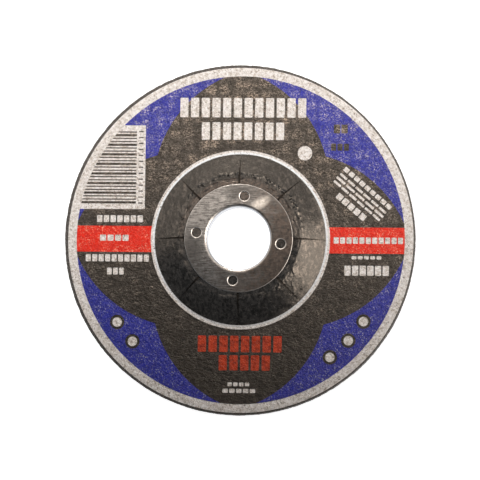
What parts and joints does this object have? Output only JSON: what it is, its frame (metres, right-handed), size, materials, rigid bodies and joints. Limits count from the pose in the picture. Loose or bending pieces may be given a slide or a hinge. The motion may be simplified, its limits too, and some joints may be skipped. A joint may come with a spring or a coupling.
{
  "type": "grinding disc",
  "caption": "Depressed-centre grinding disc of bonded abrasive with a raised hub, a slit paper label printed in plain colour fields, and a pressed steel centre ring with pierced holes.",
  "frame": {"origin": "centre of the grinding face, on the disc's axis, at the lowest plane of the disc as it lies", "axes": "+Z along the disc's axis, out through the raised hub and the labelled side; +Y towards the top of the print, +X to its right"},
  "size_m": [0.125, 0.125, 0.0108],
  "materials": {
    "abrasive": "matte moulded grains in dark resin",
    "paper": "pale matte paper, speckled by the grains under it",
    "black_ink": "dark printed paper, mottled on the flat and glossy on the hub",
    "blue_ink": "blue printed paper with pale specks",
    "red_ink": "bright red printed paper",
    "steel": "brushed sheet steel with light stains"
  },
  "bodies": {
    "root": {"abrasive_body": "abrasive", "label": "paper", "black_print": "black_ink", "blue_print": "blue_ink", "red_print": "red_ink", "centre_ring": "steel"}
  },
  "joints": []
}
